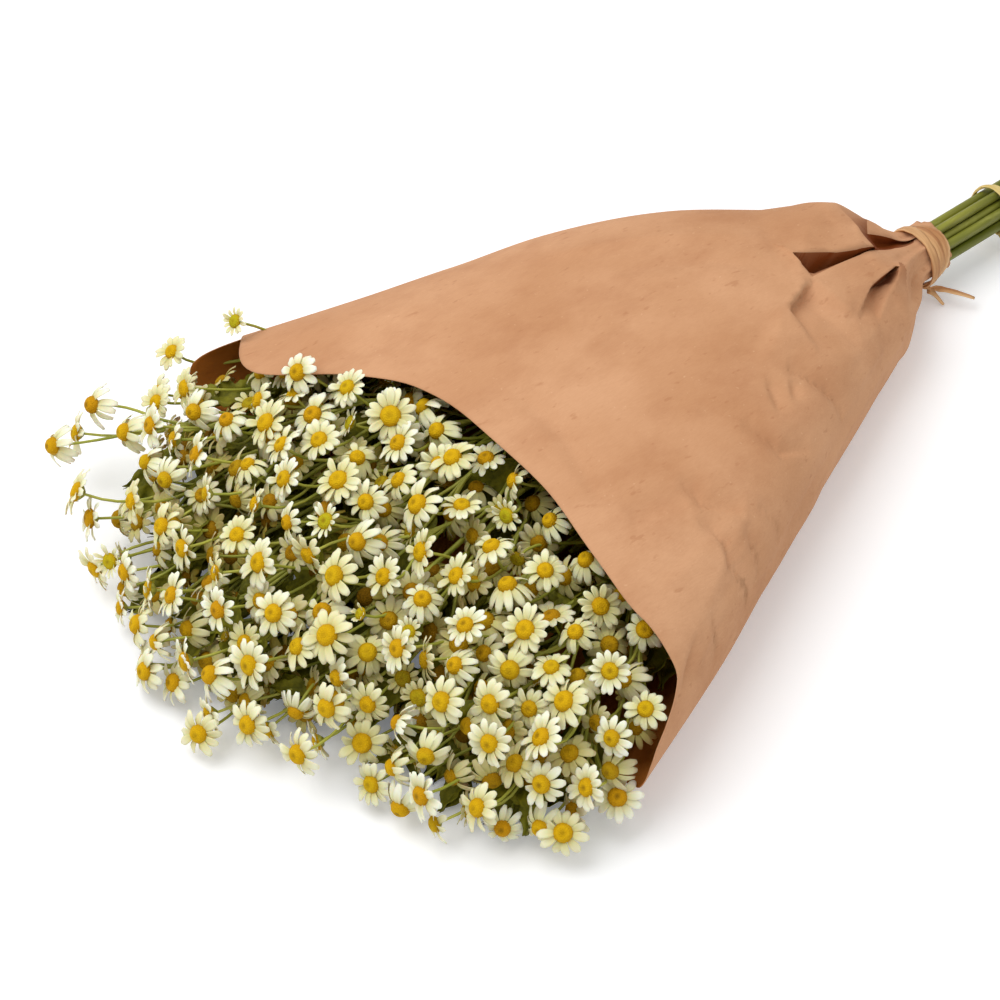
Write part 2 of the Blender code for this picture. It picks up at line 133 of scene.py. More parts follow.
SOFT_CREASES = (
    # height, reach to its gentle side and to its sharp side, and places along it (mm, degrees)
    (0.0016, 0.020, 0.007, ((-20, 52), (-9, 55), (33, 66), (76, 81))),
    (-0.0016, 0.016, 0.006, ((-6, 71), (34, 81), (56, 90))),
    (-0.0042, 0.014, 0.003, ((16, 122), (30, 146), (34, 167))),
    (-0.0026, 0.008, 0.003, ((14, 127), (10, 134))),
    (-0.0026, 0.009, 0.003, ((3, 120), (-3, 132))),
    (-0.0035, 0.013, 0.004, ((-26, 124), (-17, 144), (1, 158))),
    (-0.0038, 0.014, 0.004, ((-74, 122), (-72, 131), (-57, 146))),
    (-0.0042, 0.012, 0.003, ((-80, 134), (-76, 146), (-80, 153), (-75, 179))),
    (-0.0026, 0.010, 0.003, ((-62, 150), (-63, 175))),
    (-0.0022, 0.008, 0.003, ((-47, 150), (-39, 175))),
    (-0.0026, 0.009, 0.003, ((-103, 160), (-108, 180))),
    (-0.0028, 0.010, 0.003, ((-117, 160), (-132, 168))),
    (-0.0022, 0.016, 0.006, ((-107, 119), (-93, 122), (-77, 127))),
    (0.0014, 0.016, 0.009, ((45, 103), (27, 110), (8, 114))),
    (0.0012, 0.030, 0.020, ((-60, 96), (-20, 100), (20, 104))),
    (0.0012, 0.024, 0.017, ((-148, 40), (-120, 48), (-80, 50))),
    (-0.0019, 0.020, 0.008, ((-100, 88), (-100, 97), (-112, 112))),
    (0.0015, 0.012, 0.007, ((110, 172), (70, 176), (30, 178), (-10, 182))),
)


def smooth_table(table, value):
    """The row of a table at a value of its first column, eased from row to row."""
    value = min(max(value, table[0][0]), table[-1][0])
    for index, (low, high) in enumerate(zip(table, table[1:])):
        if value <= high[0]:
            break
    before = table[max(index - 1, 0)]
    after = table[min(index + 2, len(table) - 1)]
    width = high[0] - low[0]
    share = (value - low[0]) / width
    row = []
    for column in range(1, len(low)):
        enter = (high[column] - before[column]) / (high[0] - before[0]) * width
        leave = (after[column] - low[column]) / (after[0] - low[0]) * width
        row.append(
            (2 * share**3 - 3 * share**2 + 1) * low[column]
            + (share**3 - 2 * share**2 + share) * enter
            + (3 * share**2 - 2 * share**3) * high[column]
            + (share**3 - share**2) * leave
        )
    return row


def ease(value):
    """0 up to 0 and 1 from 1 on, with a soft start and end between."""
    value = np.clip(value, 0, 1)
    return value * value * (3 - 2 * value)


def rim_x(degrees):
    """Where the rim stands at some degrees round the sheet, with the slight wave of a cut edge."""
    angles = np.linspace(RIM[0][0], RIM[-1][0], 600)
    forward = np.array([smooth_table(RIM, angle)[0] for angle in angles])
    wave = 0.0005 * np.sin(degrees * 0.13) + 0.0003 * np.sin(degrees * 0.31 + 1)
    return MOUTH_X - np.interp(degrees, angles, forward) + wave


def rolled_sheet(along, degrees):
    """Points of the uncreased sheet, at shares along it from rim to cuff and degrees round it."""
    stations = np.linspace(-0.20, 0.20, 500)
    sections = np.array([smooth_table(SECTIONS, x) for x in stations])
    x = rim_x(degrees) * (1 - along) + (NECK_X + CUFF) * along
    near, far, height = (np.interp(x, stations, sections[:, column]) for column in range(3))
    # drawn in from the last section to the tie, and flared a little past it
    gather = ease((x - SECTIONS[-1][0]) / (NECK_X - TIE_HALF - SECTIONS[-1][0]))
    flare = 1 + 0.05 * ease((x - NECK_X - TIE_HALF) / TIE_HALF)
    near = near + (NECK_RADIUS * flare - near) * gather**0.8
    far = far + (NECK_RADIUS * flare - far) * gather**0.8
    height = height + (2 * NECK_RADIUS * flare - height) * gather
    lowest = (BUNDLE_HEIGHT - NECK_RADIUS * flare) * gather
    turn = np.radians(degrees)
    cosine, sine = np.cos(turn), np.sin(turn)
    # boxy round its sides, but slumped to an oval at the far shoulder
    slumped = ease((0.07 - x) / 0.12) * ((cosine > 0) & (sine > 0))
    squareness = 0.72 + 0.28 * np.maximum(gather, slumped)
    y = np.where(cosine > 0, far, near) * np.sign(cosine) * np.abs(cosine) ** squareness
    z = height / 2 * (1 + np.sign(sine) * np.abs(sine) ** squareness)
    # what would be under the table is pressed flat, and the rest stretched to keep the height
    flatten = TABLE_FLAT * (1 - gather)
    on_table = z < flatten
    z = np.maximum(0, z - flatten) * height / (height - flatten)
    pleats = np.cos(9 * turn + 0.9 * np.sin(2 * turn)) + 0.45 * np.cos(17 * turn + 1.3)
    pleat = (0.0026 * np.sin(np.pi * gather) ** 1.5 + 0.0006 * gather) * pleats
    lift = pleat + PLY_GAP * (RIM[-1][0] - degrees) / 360
    y = y + cosine * lift
    z = lowest + z + np.where(on_table, 0, sine * lift)
    return np.stack([x, y, np.maximum(z, 0)], axis=-1)


def outward_of(along, degrees):
    """The sheet's outward direction, from how its points move when its two shares do."""
    down = rolled_sheet(along + 0.004, degrees) - rolled_sheet(along - 0.004, degrees)
    around = rolled_sheet(along, degrees + 0.6) - rolled_sheet(along, degrees - 0.6)
    normals = np.cross(around, down)
    return normals / (np.linalg.norm(normals, axis=-1, keepdims=True) + 1e-12)


def on_sheet(place):
    """A place in mm along the cone and degrees round it, as the two shares of rolled_sheet."""
    rim = rim_x(place[1])
    return (place[0] / 1000 - rim) / (NECK_X + CUFF - rim), place[1]


def sheet_net(columns):
    """The sheet's own places (share along, degrees), with every fold line as a run of edges."""
    edge_step, clearance = 1.3, 1.25  # between points on a fold line, and from it to others
    shares = np.concatenate([np.linspace(0, 0.60, 74)[:-1], np.linspace(0.60, 1, 88)])
    degrees = np.linspace(RIM[0][0], RIM[-1][0], columns)
    grid = np.stack(np.meshgrid(shares, degrees, indexing="ij"), axis=-1).reshape(-1, 2)
    to_mm = (SHEET_MM, DEGREE_MM)
    flat = grid * to_mm
    inner = (grid[:, 0] > 0) & (grid[:, 0] < 1)
    near_fold = np.zeros(len(grid), bool)
    points, edges, numbers = [], [], {}
    for line in FOLD_LINES:
        names = line.split()
        for first, last in zip(names, names[1:]):
            start, end = np.array(FOLD_CORNERS[first][:2]), np.array(FOLD_CORNERS[last][:2])
            steps = max(1, round(float(np.linalg.norm((end - start) * (1, DEGREE_MM))) / edge_step))
            run = []
            for step in range(steps + 1):
                key = first if step == 0 else last if step == steps else (first, last, step)
                if key not in numbers:
                    numbers[key] = len(points)
                    share, turned = on_sheet(start + (end - start) * step / steps)
                    points.append((share * SHEET_MM, turned * DEGREE_MM))
                run.append(numbers[key])
            edges += list(zip(run, run[1:]))
            places = np.array([points[number] for number in run])
            for low, high in zip(places, places[1:]):
                step = high - low
                part = np.clip(((flat - low) @ step) / (step @ step), 0, 1)
                gap = np.linalg.norm(flat - low - part[:, None] * step, axis=1)
                near_fold |= gap < clearance
    kept = flat[~(near_fold & inner)]
    every = [Vector(point) for point in (*points, *kept)]
    found = delaunay_2d_cdt(every, edges, [], 0, 1e-5)
    places = np.array([tuple(point) for point in found[0]]) / to_mm
    faces = [tuple(reversed(face)) for face in found[2]]
    return places, faces


def fold_panels():
    """The flat panels between fold corners: their corners, pushes, and the painted shade at their
    corners.
    """
    names = list(FOLD_CORNERS) + [""] * len(STILL_PLACES)
    rows = [*FOLD_CORNERS.values(), *((*place, 0, 0, 0) for place in STILL_PLACES)]
    corners = [Vector((row[0], row[1] * DEGREE_MM)) for row in rows]
    pushes = [row[2:] for row in rows]
    edges = []
    for line in FOLD_LINES:
        numbers = [names.index(name) for name in line.split()]
        edges += list(zip(numbers, numbers[1:]))
    found = delaunay_2d_cdt(corners, edges, [], 0, 1e-5)
    for face in found[2]:
        sources = [found[3][corner][0] for corner in face]
        push = np.array([pushes[source] for source in sources]) / 1000
        own = [names[source] for source in sources]
        shades = np.zeros(3)
        for group in FOLD_PAINTED_SHADE:
            if all(name in group for name in own):
                shades = np.array([group[name] for name in own])
        yield [np.array(found[0][corner]) for corner in face], push, shades


def shares_in_panel(panel, flat):
    """Each point's three shares of a panel's corners, and whether it is inside the panel."""
    a, b, c = panel
    to_b, to_c, off = b - a, c - a, flat - a
    area = to_b[0] * to_c[1] - to_b[1] * to_c[0]
    share_b = (off[:, 0] * to_c[1] - off[:, 1] * to_c[0]) / area
    share_c = (to_b[0] * off[:, 1] - to_b[1] * off[:, 0]) / area
    shares = np.stack([1 - share_b - share_c, share_b, share_c], axis=1)
    return shares, shares.min(axis=1) > -1e-4


def fold(points, places, faces):
    """Pushes the sheet to its fold corners, flat from corner to corner. Also gives the painted
    shade of each face at its corners, darker where the sheet turns in under itself."""
    flat = np.stack([points[:, 0] * 1000, places[:, 1] * DEGREE_MM], axis=1)
    turns = flat[np.array(faces)]
    middles = turns.mean(axis=1)
    moved = points.copy()
    painted_fold_shade = np.zeros((len(faces), 3))
    done = np.zeros(len(points), bool)
    for panel, push, shades in fold_panels():
        shares, inside = shares_in_panel(panel, flat)
        inside &= ~done
        moved[inside] += shares[inside] @ push
        done |= inside
        covered = shares_in_panel(panel, middles)[1]
        at_corners = shares_in_panel(panel, turns[covered].reshape(-1, 2))[0]
        painted_fold_shade[covered] = (np.clip(at_corners, 0, 1) @ shades).reshape(-1, 3)
    return moved, painted_fold_shade.reshape(-1)


def crease(points, outward, height, gentle, sharp, stops):
    """A ridge (or with a height below 0 a valley) with one gentle and one sharp side."""
    shares, degrees = np.array([on_sheet(stop) for stop in stops]).T
    line = rolled_sheet(shares, degrees)
    total = len(line) - 1
    best = np.full(len(points), 1e9)
    lift = np.zeros(len(points))
    for number, (start, end) in enumerate(zip(line, line[1:])):
        step = end - start
        part = np.clip(((points - start) @ step) / (step @ step), 0, 1)
        off = points - start - part[:, None] * step
        distance = np.linalg.norm(off, axis=1)
        side = np.einsum("ij,ij->i", np.cross(outward, step), off)
        width = np.where(side > 0, gentle, sharp)
        done = (number + part) / total
        taper = np.clip(4 * done * (1 - done), 0, 1) ** 0.5 * 0.9 + 0.1
        amount = height * taper * np.maximum(0, 1 - distance / width) ** 1.4
        nearer = distance < best
        best = np.where(nearer, distance, best)
        lift = np.where(nearer, amount, lift)
    return points + outward * lift[:, None]


class Signal:
    """The output of a material's node. Sums and products of signals add Math nodes."""

    def __init__(self, tree, socket):
        self.tree = tree
        self.socket = socket

    def node(self, kind, settings=None, inputs=None, output=0):
        """Adds a node: settings first, then its inputs, which are values or signals."""
        made = self.tree.nodes.new(kind)
        for name, value in (settings or {}).items():
            setattr(made, name, value)
        for name, value in (inputs or {}).items():
            if isinstance(value, Signal):
                self.tree.links.new(value.socket, made.inputs[name])
            else:
                made.inputs[name].default_value = value
        return Signal(self.tree, made.outputs[output])

    def calc(self, operation, *terms):
        return self.node("ShaderNodeMath", {"operation": operation}, dict(enumerate(terms)))

    def __add__(self, other):
        return self.calc("ADD", self, other)

    def __sub__(self, other):
        return self.calc("SUBTRACT", self, other)

    def __rsub__(self, other):
        return self.calc("SUBTRACT", other, self)

    def __mul__(self, other):
        return self.calc("MULTIPLY", self, other)

    __radd__ = __add__
    __rmul__ = __mul__

    def span(self, low, high):
        """0 below low and 1 above high, in a straight line between."""
        return self.node("ShaderNodeMapRange", {"clamp": True}, {0: self, 1: low, 2: high})

    def mix(self, low, high):
        """The colour low where this is 0 and high where it is 1."""
        inputs = {0: self, 6: low, 7: high}
        return self.node("ShaderNodeMix", {"data_type": "RGBA"}, inputs, output=2)

    def noise(self, scale, detail=3.0, roughness=0.5, stretch=None):
        """Cloudy noise at this place, which may first be stretched along the axes."""
        place = self
        if stretch:
            place = self.node("ShaderNodeMapping", None, {"Vector": self, "Scale": stretch})
        inputs = {"Vector": place, "Scale": scale, "Detail": detail, "Roughness": roughness}
        return self.node("ShaderNodeTexNoise", None, inputs)


class Finish:
    """A material, with its shader and the place on the piece that its patterns follow."""

    def __init__(self, name, roughness, **constants):
        self.material = bpy.data.materials.new(name)
        self.material.use_nodes = True
        self.tree = self.material.node_tree
        self.shader = self.tree.nodes["Principled BSDF"]
        self.shader.inputs["Roughness"].default_value = roughness
        for socket, value in constants.items():
            self.shader.inputs[socket.replace("_", " ")].default_value = value
        place = self.tree.nodes.new("ShaderNodeTexCoord")
        self.place = Signal(self.tree, place.outputs["Object"])

    def attribute(self, name, output):
        return self.place.node("ShaderNodeAttribute", {"attribute_name": name}, None, output)

    def feed(self, socket, signal):
        self.tree.links.new(signal.socket, self.shader.inputs[socket])

    def bump(self, height, distance, strength=1.0):
        inputs = {"Height": height, "Distance": distance, "Strength": strength}
        self.feed("Normal", height.node("ShaderNodeBump", None, inputs))


def tint(red, green, blue):
    """A colour from its everyday 0 to 255 values, as the shaders need it."""
    linear = []
    for value in (red, green, blue):
        value /= 255
        linear.append(value / 12.92 if value <= 0.04045 else ((value + 0.055) / 1.055) ** 2.4)
    return (*linear, 1)


def kraft_finish(name, deep, mid, pale, bright, shaded):
    """Unbleached paper: soft uneven tone, fine felted fibres, a few darker flecks, and painted shade
    in the folds.
    """
    kraft = Finish(name, 0.82, Specular_IOR_Level=0.15)
    patches = kraft.place.noise(13, 4, 0.55).span(0.35, 0.66)
    blotches = kraft.place.noise(38, 5, 0.65, (0.7, 1.3, 1.3)).span(0.46, 0.74)
    fibres = kraft.place.noise(700, 3, 0.7, (0.35, 2.2, 2.2)).span(0.35, 0.75)
    flecks = kraft.place.noise(260, 2, 0.5, (0.5, 1.2, 1.2)).span(0.66, 0.74)
    specks = kraft.place.noise(480, 1, 0.5).span(0.74, 0.80)
    tone = patches.mix(mid, pale)
    tone = (blotches * 0.30).mix(tone, deep)
    tone = (fibres * 0.16).mix(tone, deep)
    tone = (flecks * 0.30).mix(tone, deep)
    tone = (specks * 0.25).mix(tone, bright)
    # painted shade: faces turned in under the folds are darkened towards the shaded colour
    painted_fold_shade = kraft.attribute("painted_fold_shade", 2)
    kraft.feed("Base Color", painted_fold_shade.mix(tone, shaded))
    kraft.feed("Roughness", patches * 0.1 + 0.76)
    wrinkle = kraft.place.noise(120, 4, 0.6)
    kraft.bump(wrinkle * 0.6 + fibres * 0.25, 0.0006, 0.45)
    return kraft.material


def new_object(name, data):
    made = bpy.data.objects.new(name, data)
    bpy.context.scene.collection.objects.link(made)
    return made


def mesh_piece(name, points, faces, finishes):
    mesh = bpy.data.meshes.new(name)
    mesh.from_pydata([tuple(point) for point in points], [], faces)
    for finish in finishes:
        mesh.materials.append(finish)
    mesh.shade_smooth()
    return new_object(name, mesh)


def select_only(pieces):
    bpy.ops.object.select_all(action="DESELECT")
    for piece in pieces:
        piece.select_set(True)
    bpy.context.view_layer.objects.active = pieces[0]


def thicken(piece, thickness, offset=0, material_offset=0):
    """Gives a thin sheet its thickness: half to each side, or with offset -1 all inwards."""
    body = piece.modifiers.new("thickness", "SOLIDIFY")
    body.thickness = thickness
    body.offset = offset
    body.material_offset = material_offset
    select_only([piece])
    bpy.ops.object.modifier_apply(modifier=body.name)


paper_places, paper_faces = sheet_net(232)
paper_points = rolled_sheet(paper_places[:, 0], paper_places[:, 1])
outward = outward_of(paper_places[:, 0], paper_places[:, 1])
rng = random.Random(5)
for _ in range(44):  # small wrinkles all over, from handling
    x, degrees = rng.uniform(-140, 150), rng.uniform(40, 330)
    far_x = x + rng.choice((-1, 1)) * rng.uniform(15, 70)
    far_degrees = degrees + rng.uniform(-14, 14)
    small = rng.choice((-1, 1)) * rng.uniform(0.0004, 0.0012)
    stops = ((x, degrees), (max(-150, min(far_x, 160)), far_degrees))
    paper_points = crease(paper_points, outward, small, rng.uniform(0.008, 0.02), 0.004, stops)
for soft_crease in SOFT_CREASES:
    paper_points = crease(paper_points, outward, *soft_crease)
paper_points, painted_fold_shade = fold(paper_points, paper_places, paper_faces)
paper_points[:, 2] = np.maximum(paper_points[:, 2], 0)
# each finish's last colour is the painted shade in the folds
kraft_outside = kraft_finish(
    "kraft outside", tint(160, 102, 66), tint(195, 144, 106), tint(210, 161, 124),
    tint(238, 198, 160), tint(118, 54, 12),
)
# the inside is a darker, redder copy of the outside kraft: painted shade for the inside of the cone
kraft_inside_shaded = kraft_finish(
    "kraft inside shaded", tint(132, 68, 20), tint(176, 104, 42), tint(192, 118, 50),
    tint(184, 124, 78), tint(84, 36, 16),
)
paper = mesh_piece("kraft_sheet", paper_points, paper_faces, (kraft_outside, kraft_inside_shaded))
# the painted fold shade, kept at each face's corners
paper.data.attributes.new("painted_fold_shade", "FLOAT", "CORNER").data.foreach_set("value", painted_fold_shade)
thicken(paper, PAPER_THICKNESS, offset=-1, material_offset=1)
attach(paper, "root")
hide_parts("paper_wrap")


# --- The raffia ties ---
# A strand of dry raffia is wound tightly three times round the paper's neck, and another
# twice round the bare stems. Each has two loose ends.

NECK_STRAND_WIDTH = 0.0050
STEM_STRAND_WIDTH = 0.0030
STRAND_THICKNESS = 0.0005
STEM_TIE_X = 0.222


def raffia_finish(name, pale, worn, deep):
    """Dry strand: fine threads run along it, and it is browner in some stretches."""
    raffia = Finish(name, 0.55)
    place = raffia.place.node("ShaderNodeUVMap", {"uv_map": "UVMap"})
    threads = place.noise(1, 4, 0.6, (60, 5200, 1)).span(0.3, 0.7)
    tones = place.noise(1, 2, 0.5, (24, 260, 1)).span(0.38, 0.62)
    raffia.feed("Base Color", (threads * 0.45).mix(tones.mix(worn, pale), deep))
    raffia.bump(threads, 0.0003, 0.8)
    return raffia.material


def raffia_strand(name, path, outward, loose, width, finish):
    """A flat strand that follows a path, cupped across, with its edges slightly uneven."""
    lanes = 6
    points, faces, places = [], [], []
    length = 0.0
    for index, point in enumerate(path):
        before, after = path[max(index - 1, 0)], path[min(index + 1, len(path) - 1)]
        if index:
            length += (point - path[index - 1]).length
        normal = outward[index].normalized()
        side = (after - before).cross(normal).normalized()
        half = width / 2 * (1 + 0.12 * math.sin(length * 260) + 0.08 * math.sin(length * 710))
        half *= 1 - 0.65 * loose[index]
        for lane in range(lanes + 1):
            across = lane / lanes * 2 - 1
            cup = 0.00045 * (1 - across * across) + 0.00010 * math.cos(across * 11 + length * 90)
            points.append(point + side * half * across + normal * cup)
            places.append((length, across * half))
    row = lanes + 1
    for index in range(len(path) - 1):
        for lane in range(lanes):
            corner = index * row + lane
            faces.append((corner, corner + 1, corner + row + 1, corner + row))
    strand = mesh_piece(name, points, faces, (finish,))
    uv = strand.data.uv_layers.new(name="UVMap")
    for loop in strand.data.loops:
        uv.data[loop.index].uv = places[loop.vertex_index]
    thicken(strand, STRAND_THICKNESS)
    return strand


def wound_path(x, radius, turns, swing, tails):
    """Round the bundle turns times, each turn less slanted, then off along its loose ends. An
    end has its direction, its length and the way that its flat side faces."""
    start_degrees, steps = -118, 30
    path, outward, loose = [], [], []
    for step in range(int(turns * steps) + 1):
        turned = step / steps
        angle = math.radians(start_degrees) + math.tau * turned
        normal = Vector((0, math.cos(angle), math.sin(angle)))
        slant = swing * (1 - 1.1 * turned / turns)
        aside = slant * math.cos(angle - math.radians(135)) - 0.3 * swing
        reach = radius + 0.00065 * turned
        path.append(Vector((x + aside, 0, BUNDLE_HEIGHT)) + normal * reach)
        outward.append(normal)
        loose.append(0)
    for at_start, (direction, length, facing) in zip((True, False), tails):
        root, normal = (path[0], outward[0]) if at_start else (path[-1], outward[-1])
        for piece in range(1, 13):
            share = piece / 12
            point = root + Vector(direction).normalized() * length * share
            point.z = max(point.z - 0.006 * share * share, 0.0016)
            turned = normal.lerp(Vector(facing), min(1, share * 1.5))
            if at_start:
                path.insert(0, point)
                outward.insert(0, turned)
                loose.insert(0, share)
            else:
                path.append(point)
                outward.append(turned)
                loose.append(share)
    return path, outward, loose


neck_ends = (
    ((0.60, -0.72, 0.06), 0.031, (0.3, -0.5, 0.8)),
    ((0.35, -0.9, -0.2), 0.013, (0.2, -0.7, 0.6)),
)
neck_path = wound_path(NECK_X, radius=0.0148, turns=3, swing=0.0135, tails=neck_ends)
brown_raffia = raffia_finish(
    "brown raffia", tint(248, 204, 148), tint(192, 132, 82), tint(182, 120, 70)
)
neck_tie = raffia_strand("raffia_round_neck", *neck_path, NECK_STRAND_WIDTH, brown_raffia)
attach(neck_tie, "root")
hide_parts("neck_tie")

stem_ends = (
    ((0.2, -0.9, -0.2), 0.009, (0.2, -0.6, 0.7)),
    ((0.5, -0.8, 0.1), 0.011, (0.2, -0.6, 0.7)),
)
stem_path = wound_path(STEM_TIE_X, radius=0.0124, turns=2, swing=0.0060, tails=stem_ends)
yellow_raffia = raffia_finish(
    "yellow raffia", tint(246, 224, 150), tint(226, 196, 116), tint(196, 158, 78)
)
stem_tie = raffia_strand("raffia_round_stems", *stem_path, STEM_STRAND_WIDTH, yellow_raffia)
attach(stem_tie, "root")
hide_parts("stem_tie")


# --- The flower heads ---
# A feverfew head is a small domed yellow disc in a green cup, with a ring of ten to fourteen
# short, broad white rays. Young heads are greenish with raised rays, old ones fold theirs back.

HEAD_RADIUS = 0.0118
DISC_RADIUS = 0.0047
RAY_ROOT = DISC_RADIUS * 0.72
RAY_THICKNESS = 0.00022
CUP_DEPTH = 0.0034


def bloom_of(finish):
    """What set_bloom stores on the points of a head, as four signals."""
    bloom = finish.attribute("bloom", "Color")
    parts = bloom.node("ShaderNodeSeparateColor", None, {"Color": bloom}).socket.node.outputs
    return *(Signal(finish.tree, part) for part in parts), finish.attribute("bloom", "Alpha")


ray_white = Finish(
    "ray white", 0.6, Subsurface_Weight=0.15, Subsurface_Scale=0.002, Specular_IOR_Level=0.12
)
from_base, _, chance, painted_light = bloom_of(ray_white)
clean = chance.mix(tint(238, 231, 190), tint(252, 250, 234))
# painted shade: the rays of heads deep in the mound turn olive
clean = painted_light.mix(tint(170, 148, 60), clean)
# painted shade: the rays turn olive cream towards their roots, by the disc
painted_root_shade = (1 - from_base.span(0.05, 0.85)) * 0.9
ray_white.feed("Base Color", painted_root_shade.mix(clean, tint(206, 197, 114)))

disc_yellow = Finish("disc yellow", 0.8, Specular_IOR_Level=0.15)
from_middle, age, chance, painted_light = bloom_of(disc_yellow)
florets = disc_yellow.place.node(
    "ShaderNodeTexVoronoi", None, {"Vector": disc_yellow.place, "Scale": 1300}
).span(0.0, 0.6)
ripe = age.span(0.2, 0.75).mix(tint(196, 192, 26), tint(236, 190, 10))
ripe = (age * chance).span(0.55, 1.0).mix(ripe, tint(212, 146, 8))
edge = from_middle.span(0.62, 1.0) * 0.5
ripe = edge.mix(ripe, tint(196, 140, 6))
dimple = (1 - from_middle.span(0.10, 0.42)) * chance.span(-0.4, 0.8) * 0.75
ripe = dimple.mix(ripe, tint(128, 98, 8))
# painted shade: the discs of heads deep in the mound turn dull brown
ripe = (1 - painted_light).mix(ripe, tint(132, 98, 10))
# darker between the florets: painted shade in the gaps
disc_yellow.feed("Base Color", (florets * 0.34).mix(ripe, tint(150, 104, 4)))
disc_yellow.bump(1 - florets, 0.0004, 0.9)

cup_green = Finish("cup green", 0.5)
cup_tone = cup_green.place.noise(500, 2).span(0.35, 0.65)
cup_green.feed("Base Color", cup_tone.mix(tint(132, 134, 42), tint(172, 170, 76)))


def active():
    return bpy.context.view_layer.objects.active


def set_bloom(piece, shares, age=0, chance=0, painted_light=1):
    """Stores on every point its share from base to tip, and the head's age, its chance and
    its painted light, which is less for heads deep in the mound, painted darker as shade."""
    layer = piece.data.attributes.get("bloom")
    if layer is None:
        layer = piece.data.attributes.new("bloom", "FLOAT_COLOR", "POINT")
    values = [value for share in shares for value in (share, age, chance, painted_light)]
    layer.data.foreach_set("color", values)


def ray_ring(count, length, width, rise, droop):
    """A ring of rays: one is shaped from a grid, then spun round, and each is bent a little."""
    bpy.ops.object.select_all(action="DESELECT")
    bpy.ops.mesh.primitive_grid_add(x_subdivisions=5, y_subdivisions=4, size=1)
    ring = active()
    for corner in ring.data.vertices:
        share, across = corner.co.x + 0.5, corner.co.y * 2
        outline = 0.45 + 0.55 * math.sin(min(share, 0.6) / 0.6 * math.pi / 2)
        if share > 0.6:
            outline = 1 - 0.48 * ((share - 0.6) / 0.4) ** 2.6
        x = RAY_ROOT + length * share * (1 - 0.07 * share**3 * across * across)
        z = rise * share - droop * share * share
        z += 0.0006 * abs(across) * math.sin(share * math.pi) - 0.0003 * across * across * share
        corner.co = Vector((x, width / 2 * outline * across, z))
    bpy.ops.object.mode_set(mode="EDIT")
    bpy.ops.mesh.select_all(action="SELECT")
    bpy.ops.mesh.spin(
        steps=count - 1, dupli=True, angle=math.tau * (count - 1) / count,
        center=(0, 0, 0), axis=(0, 0, 1),
    )
    bpy.ops.object.mode_set(mode="OBJECT")
    per_ray = len(ring.data.vertices) // count
    for ray in range(count):
        corners = [ring.data.vertices[ray * per_ray + n] for n in range(per_ray)]
        middle = sum((corner.co for corner in corners), Vector()) / per_ray
        aim = math.atan2(middle.y, middle.x)
        out = Vector((math.cos(aim), math.sin(aim), 0))
        side = Vector((-math.sin(aim), math.cos(aim), 0))
        turn = Matrix.Rotation(rng.uniform(-0.10, 0.10), 4, "Z")
        tilt = Matrix.Rotation(rng.uniform(-0.22, 0.22), 4, side)
        roll = Matrix.Rotation(rng.uniform(-0.3, 0.3), 4, out)
        stretch = rng.uniform(0.86, 1.06)
        lift = Vector((0, 0, RAY_THICKNESS * (ray % 2)))
        for corner in corners:
            radial = corner.co.xy.length
            corner.co = turn @ tilt @ roll @ corner.co
            grow = 1 + (stretch - 1) * max(0, radial - DISC_RADIUS) / length
            corner.co = corner.co * Vector((grow, grow, 1)) + lift
    thicken(ring, RAY_THICKNESS)
    shares = [(corner.co.xy.length - RAY_ROOT) / length for corner in ring.data.vertices]
    set_bloom(ring, shares)
    ring.data.materials.append(ray_white.material)
    return ring


def disc_dome(height, dimple):
    """The domed disc: a ball with few sides, flattened, and pressed in at its middle."""
    bpy.ops.object.select_all(action="DESELECT")
    bpy.ops.mesh.primitive_uv_sphere_add(segments=12, ring_count=7, radius=DISC_RADIUS)
    dome = active()
    for corner in dome.data.vertices:
        radial = corner.co.xy.length / DISC_RADIUS
        corner.co.z *= (height if corner.co.z > 0 else 0.0018) / DISC_RADIUS
        if corner.co.z > 0:
            corner.co.z -= dimple * max(0, 1 - radial / 0.5)
    shares = [corner.co.xy.length / DISC_RADIUS for corner in dome.data.vertices]
    set_bloom(dome, shares)
    dome.data.materials.append(disc_yellow.material)
    return dome


def green_cup():
    """The green cup under a head: a cone drawn in to the pedicel."""
    depth = CUP_DEPTH
    bpy.ops.object.select_all(action="DESELECT")
    bpy.ops.mesh.primitive_cone_add(
        vertices=10, radius1=0.0011, radius2=DISC_RADIUS * 0.92, depth=depth,
        location=(0, 0, -depth / 2),
    )
    cup = active()
    bpy.ops.object.transform_apply(location=True)
    bpy.ops.object.mode_set(mode="EDIT")
    bpy.ops.mesh.select_all(action="SELECT")
    bpy.ops.mesh.bisect(plane_co=(0, 0, -depth * 0.55), plane_no=(0, 0, 1))
    bpy.ops.object.mode_set(mode="OBJECT")
    for corner in cup.data.vertices:
        if -depth * 0.7 < corner.co.z < -depth * 0.3:
            corner.co.x *= 1.25
            corner.co.y *= 1.25
    set_bloom(cup, [0] * len(cup.data.vertices))
    cup.data.materials.append(cup_green.material)
    return cup


def join(pieces, name):
    select_only(pieces)
    bpy.ops.object.join()
    joined = active()
    joined.name = name
    joined.data.name = name
    joined.data.shade_smooth()
    return joined


def flower_pattern(name, length, count, width, rise, droop, dome, dimple):
    """One kind of head, made once and then copied: it faces +Z, its rays' roots at z = 0."""
    rays = ray_ring(count, length, width, rise, droop)
    return join([rays, disc_dome(dome, dimple), green_cup()], name)


def flower_patterns(name, length, rows):
    """Kinds of one age. A row has the number of rays, their width, how far they rise and
    then droop, the height of the disc, and how deep its middle is."""
    return [flower_pattern(f"{name}_{n}", length, *row) for n, row in enumerate(rows)]


